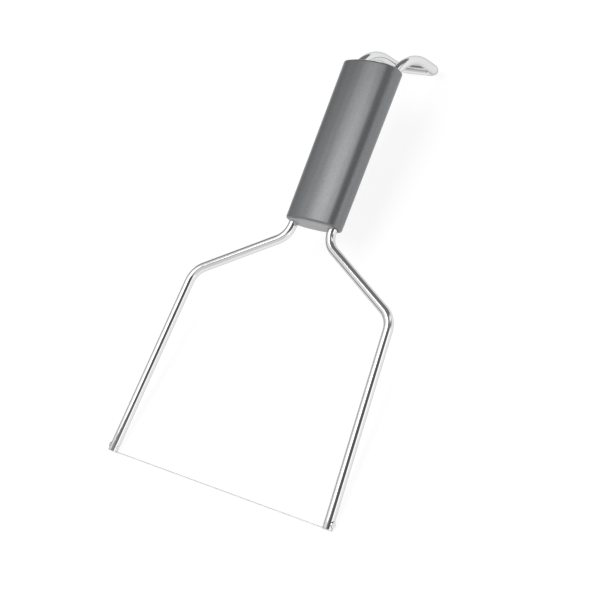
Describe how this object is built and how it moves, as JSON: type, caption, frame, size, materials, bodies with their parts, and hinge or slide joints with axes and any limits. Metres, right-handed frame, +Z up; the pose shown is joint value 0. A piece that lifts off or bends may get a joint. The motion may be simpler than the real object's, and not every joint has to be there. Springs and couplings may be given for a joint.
{
  "type": "dough cutter",
  "caption": "Wire bow cutter for dumplings and soft dough: bent steel rod bow with a taut cutting wire, oval plastic grip and hanging hook.",
  "frame": {"origin": "centre of the overall outline on the resting surface: X = 0 is the mirror plane, Y = 0 is halfway between the arm tips and the hook's cross bar, Z = 0 is the surface the cutter lies on", "axes": "+X across the bow to the right arm, seen from the front with the hook up; +Y from the cutting wire to the hook; +Z up, the side the handle's front faces when the cutter lies on its arm tips and hook"},
  "size_m": [0.1306, 0.232, 0.0428],
  "materials": {
    "rod_steel": "polished stainless steel rod",
    "handle_plastic": "fine matte mid-grey plastic",
    "plug_plastic": "moulded light-grey plastic",
    "core_plastic": "moulded dark plastic, hidden",
    "wire_steel": "bright drawn stainless wire",
    "anchor_steel": "polished stainless pin heads"
  },
  "bodies": {
    "root": {"frame_rod": "rod_steel", "handle_sleeve": "handle_plastic", "lower_end_plug": "plug_plastic", "upper_end_plug": "plug_plastic", "handle_core_front": "core_plastic", "handle_core_rear": "core_plastic", "cutting_wire": "wire_steel", "wire_anchor_left": "anchor_steel", "wire_anchor_right": "anchor_steel"}
  },
  "joints": []
}
